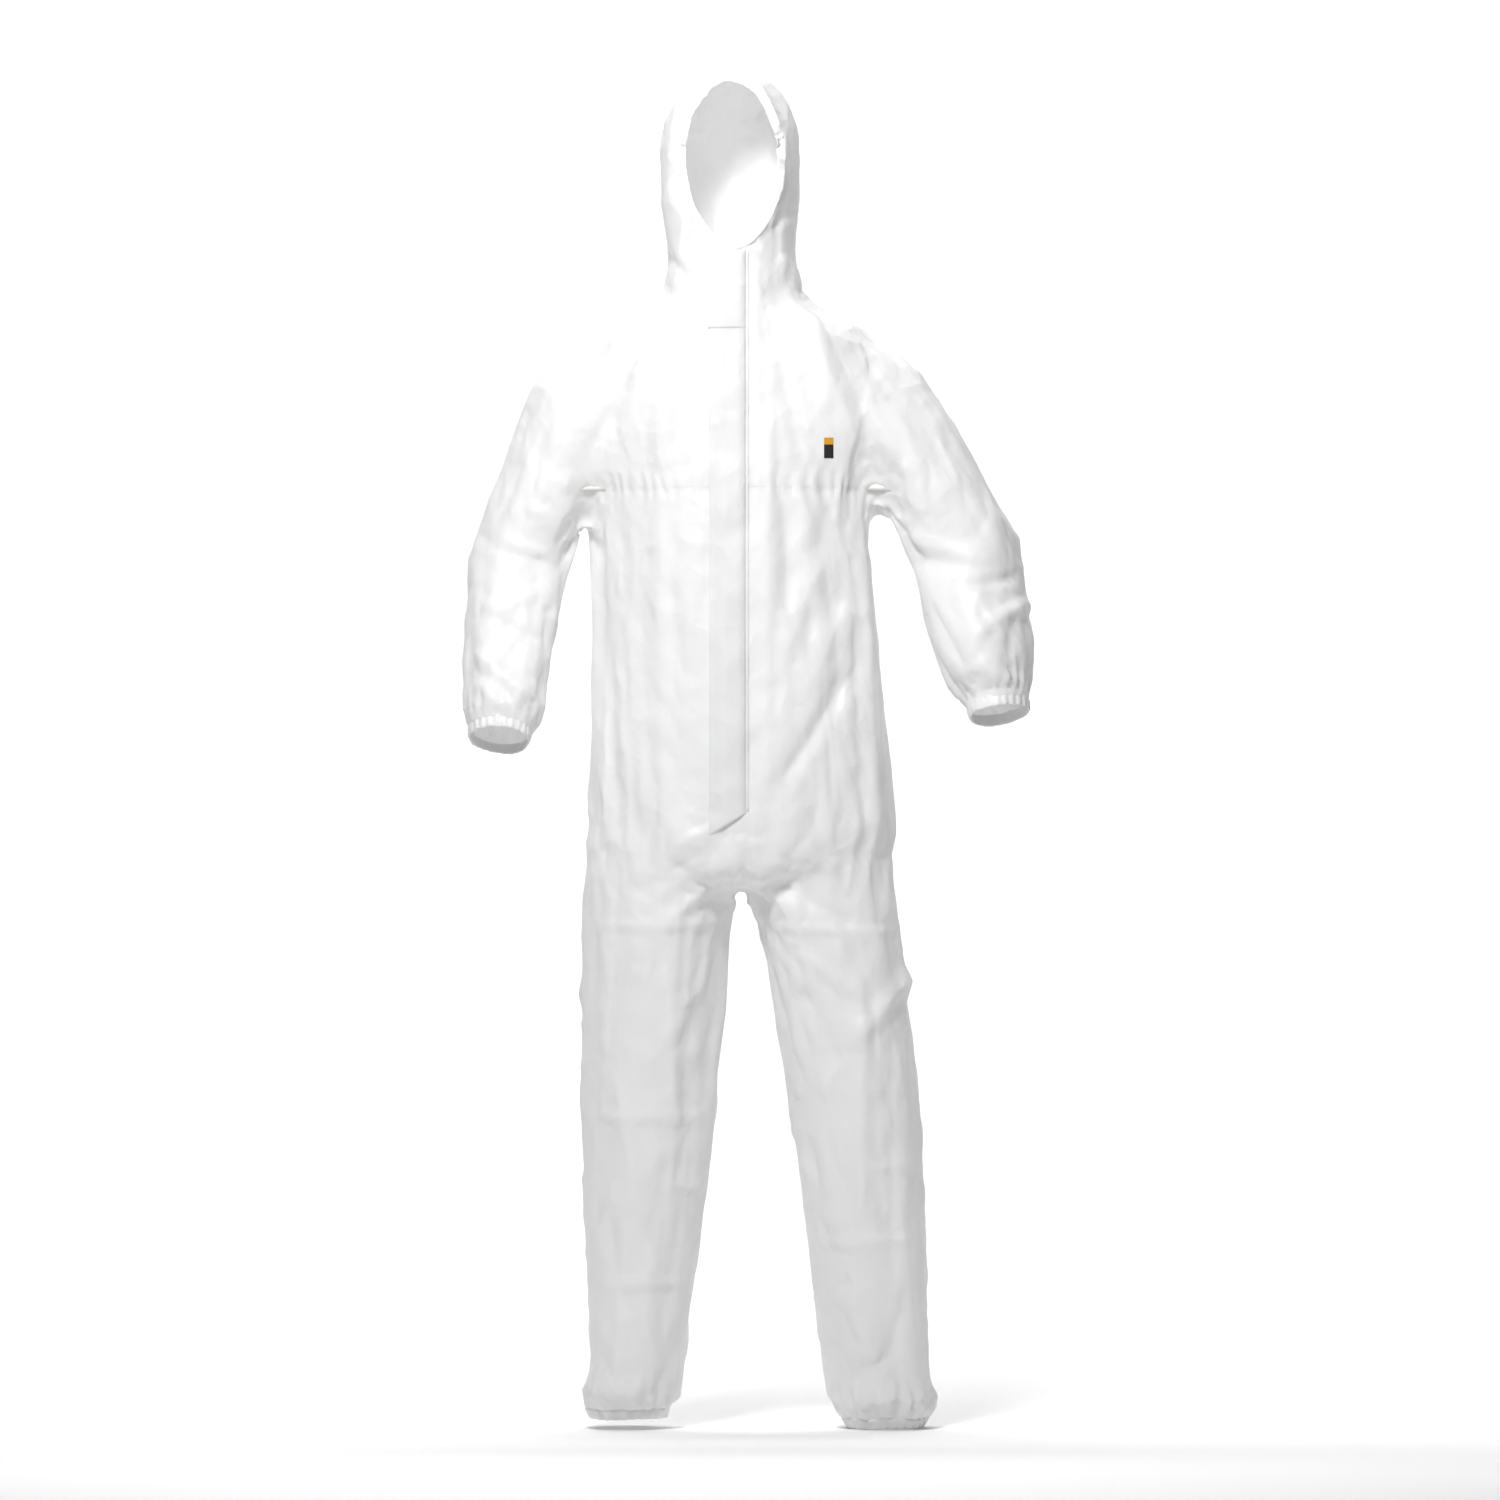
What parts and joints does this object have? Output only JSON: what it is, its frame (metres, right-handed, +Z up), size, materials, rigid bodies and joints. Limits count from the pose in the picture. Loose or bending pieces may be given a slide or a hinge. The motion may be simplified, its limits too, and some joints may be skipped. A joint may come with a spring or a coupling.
{
  "type": "hooded chemical protective coverall",
  "caption": "White hooded one-piece protective coverall with a face opening, zipped front under a storm flap, and elasticated waist, cuffs and ankles, hanging as worn.",
  "frame": {"origin": "the centre of the neck at the collar line, where the wearer's shoulders carry the suit", "axes": "+Z up, the wearer faces -Y, the wearer's left is +X"},
  "size_m": [0.7659, 0.2836, 1.799],
  "materials": {
    "laminate": "white microporous film laminated to spunbonded polypropylene, smooth with a soft sheen",
    "elastic": "flat white elastic, matt",
    "zip_tape": "white woven polyester tape",
    "zip_coil": "white nylon coil",
    "zip_slider_plastic": "white painted slider, pull tab and stops",
    "release_liner": "silicone-coated release paper over the adhesive strip",
    "label_tape": "blank white satin label tape",
    "badge_print": "flexible ink, a plain dark block with an amber bar"
  },
  "bodies": {
    "torso": {"front_left_panel": "laminate", "front_right_panel": "laminate", "back_left_panel": "laminate", "back_right_panel": "laminate", "waist_elastic": "elastic", "neck_left_panel": "laminate", "neck_right_panel": "laminate", "zip_tape_left": "zip_tape", "zip_tape_right": "zip_tape", "zip_coil_left": "zip_coil", "zip_coil_right": "zip_coil", "zip_top_stop_left": "zip_slider_plastic", "zip_top_stop_right": "zip_slider_plastic", "zip_bottom_stop": "zip_slider_plastic", "flap_sewn_edge": "laminate", "chest_badge": "badge_print", "care_label": "label_tape"},
    "hood": {"hood_neck_band": "laminate", "hood_centre_panel": "laminate", "hood_left_panel": "laminate", "hood_right_panel": "laminate", "hood_face_casing": "laminate", "hood_face_elastic": "elastic"},
    "zip_slider_body": {"zip_slider": "zip_slider_plastic", "zip_pull_tab": "zip_slider_plastic"},
    "storm_flap_body": {"storm_flap": "laminate", "chin_flap": "laminate", "storm_flap_adhesive": "release_liner", "chin_flap_adhesive": "release_liner"},
    "left_upper_sleeve": {"left_sleeve_head": "laminate", "left_sleeve_arm": "laminate"},
    "left_lower_sleeve": {"left_sleeve_elbow": "laminate", "left_sleeve_forearm": "laminate", "left_cuff_casing": "laminate", "left_cuff_elastic": "elastic"},
    "left_thigh": {"left_leg_hip": "laminate", "left_thigh_front": "laminate", "left_thigh_back": "laminate"},
    "left_shin": {"left_leg_knee": "laminate", "left_shin_front": "laminate", "left_shin_back": "laminate", "left_ankle_casing": "laminate", "left_ankle_elastic": "elastic"},
    "right_upper_sleeve": {"right_sleeve_head": "laminate", "right_sleeve_arm": "laminate"},
    "right_lower_sleeve": {"right_sleeve_elbow": "laminate", "right_sleeve_forearm": "laminate", "right_cuff_casing": "laminate", "right_cuff_elastic": "elastic"},
    "right_thigh": {"right_leg_hip": "laminate", "right_thigh_front": "laminate", "right_thigh_back": "laminate"},
    "right_shin": {"right_leg_knee": "laminate", "right_shin_front": "laminate", "right_shin_back": "laminate", "right_ankle_casing": "laminate", "right_ankle_elastic": "elastic"}
  },
  "joints": [
    {"name": "hood_tilt", "type": "hinge", "parent": "torso", "child": "hood", "pos_m": [-0.008, 0.062, 0.06], "axis": [-1, 0, 0], "range_deg": [0, 30], "deforming": ["hood_neck_band"]},
    {"name": "zip_slide", "type": "slide", "parent": "torso", "child": "zip_slider_body", "axis": [0, -0.0234, -0.9997], "range_m": [0, 0.705]},
    {"name": "storm_flap_hinge", "type": "hinge", "parent": "torso", "child": "storm_flap_body", "pos_m": [0.0098, -0.1195, 0.00014], "axis": [0, 0.0234, 0.9997], "range_deg": [0, 165]},
    {"name": "left_shoulder_raise", "type": "hinge", "parent": "torso", "child": "left_upper_sleeve", "pos_m": [0.215, 0, -0.18], "axis": [0, -1, 0], "range_deg": [0, 45], "deforming": ["left_sleeve_head"]},
    {"name": "left_elbow_bend", "type": "hinge", "parent": "left_upper_sleeve", "child": "left_lower_sleeve", "pos_m": [0.31398, 0, -0.33047], "axis": [-1, 0, 0], "range_deg": [-10, 50], "deforming": ["left_sleeve_elbow"]},
    {"name": "left_leg_swing", "type": "hinge", "parent": "torso", "child": "left_thigh", "pos_m": [0.114, 0, -0.8], "axis": [-1, 0, 0], "range_deg": [-15, 40], "deforming": ["left_leg_hip"]},
    {"name": "left_knee_bend", "type": "hinge", "parent": "left_thigh", "child": "left_shin", "pos_m": [0.162, 0, -1.05], "axis": [1, 0, 0], "range_deg": [0, 55], "deforming": ["left_leg_knee"]},
    {"name": "right_shoulder_raise", "type": "hinge", "parent": "torso", "child": "right_upper_sleeve", "pos_m": [-0.223, 0, -0.185], "axis": [0, 1, 0], "range_deg": [0, 45], "deforming": ["right_sleeve_head"]},
    {"name": "right_elbow_bend", "type": "hinge", "parent": "right_upper_sleeve", "child": "right_lower_sleeve", "pos_m": [-0.30159, 0, -0.3467], "axis": [-1, 0, 0], "range_deg": [-10, 50], "deforming": ["right_sleeve_elbow"]},
    {"name": "right_leg_swing", "type": "hinge", "parent": "torso", "child": "right_thigh", "pos_m": [-0.106, 0, -0.8], "axis": [-1, 0, 0], "range_deg": [-15, 40], "deforming": ["right_leg_hip"]},
    {"name": "right_knee_bend", "type": "hinge", "parent": "right_thigh", "child": "right_shin", "pos_m": [-0.128, 0, -1.05], "axis": [1, 0, 0], "range_deg": [0, 55], "deforming": ["right_leg_knee"]}
  ]
}
